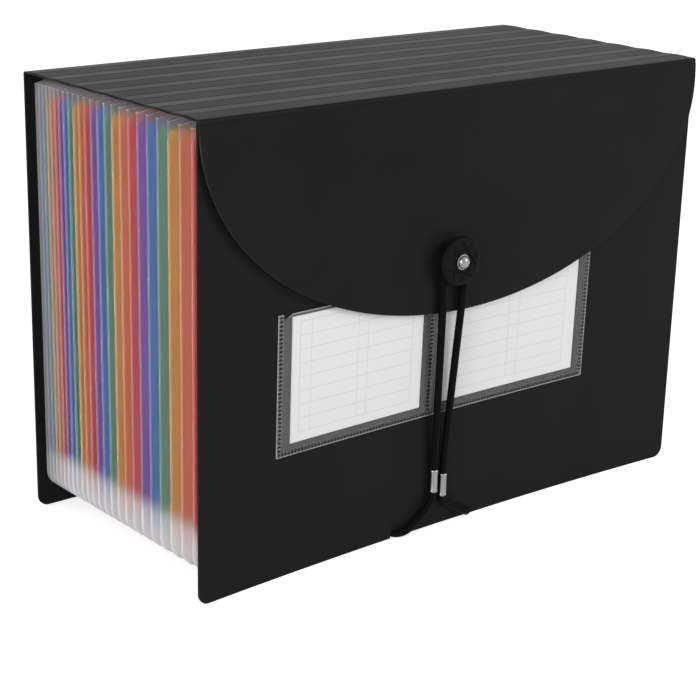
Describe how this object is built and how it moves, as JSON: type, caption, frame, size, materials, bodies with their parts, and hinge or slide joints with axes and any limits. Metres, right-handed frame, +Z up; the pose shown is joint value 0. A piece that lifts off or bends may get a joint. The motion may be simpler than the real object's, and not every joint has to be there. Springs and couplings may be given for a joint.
{
  "type": "accordion file organizer",
  "caption": "Expanding accordion file with coloured dividers in a pleated film body, a scored lid with a rounded flap, label pockets and an elastic loop closure.",
  "frame": {"origin": "on the surface the file stands on, under the middle of its width and of its whole depth, button included", "axes": "+X to the right across the front, +Y from the front to the back, +Z up"},
  "size_m": [0.33, 0.1636, 0.2343],
  "materials": {
    "cover_sheet": "satin black polypropylene sheet",
    "frosted_film": "frosted translucent polypropylene film",
    "clear_film": "clear welded film",
    "label_card": "white uncoated card with faint ruled lines",
    "black_moulding": "moulded black plastic",
    "plated_steel": "bright plated steel",
    "elastic_braid": "black braided elastic cord",
    "divider_red": "coloured polypropylene film",
    "divider_orange": "coloured polypropylene film",
    "divider_yellow": "coloured polypropylene film",
    "divider_green": "coloured polypropylene film",
    "divider_blue": "coloured polypropylene film",
    "divider_purple": "coloured polypropylene film"
  },
  "bodies": {
    "body": {"back_panel": "cover_sheet", "front_panel": "cover_sheet", "pleated_body": "frosted_film", "divider_01": "divider_red", "divider_02": "divider_orange", "divider_03": "divider_yellow", "divider_04": "divider_green", "divider_05": "divider_blue", "divider_06": "divider_purple", "divider_07": "divider_red", "divider_08": "divider_orange", "divider_09": "divider_yellow", "divider_10": "divider_green", "divider_11": "divider_blue", "divider_12": "divider_purple", "divider_13": "divider_red", "divider_14": "divider_orange", "divider_15": "divider_yellow", "divider_16": "divider_green", "divider_17": "divider_blue", "divider_18": "divider_purple", "divider_19": "divider_red", "divider_20": "divider_orange", "divider_21": "divider_yellow", "divider_22": "divider_green", "divider_23": "divider_blue", "label_pocket": "clear_film", "label_card_left": "label_card", "label_card_right": "label_card", "elastic_loop": "elastic_braid", "elastic_base": "elastic_braid", "crimp_left": "plated_steel", "crimp_right": "plated_steel"},
    "lid": {"scored_lid": "cover_sheet"},
    "flap": {"front_flap": "cover_sheet", "closure_button": "black_moulding", "button_rivet": "plated_steel", "rivet_washer": "plated_steel"}
  },
  "joints": [
    {"name": "lid_hinge", "type": "hinge", "parent": "body", "child": "lid", "pos_m": [0, 0.08184, 0.2335], "axis": [-1, 0, 0], "range_deg": [0, 220], "deforming": ["elastic_loop"]},
    {"name": "flap_hinge", "type": "hinge", "parent": "lid", "child": "flap", "pos_m": [0, -0.06967, 0.2335], "axis": [-1, 0, 0], "range_deg": [0, 180], "deforming": ["elastic_loop"]}
  ]
}
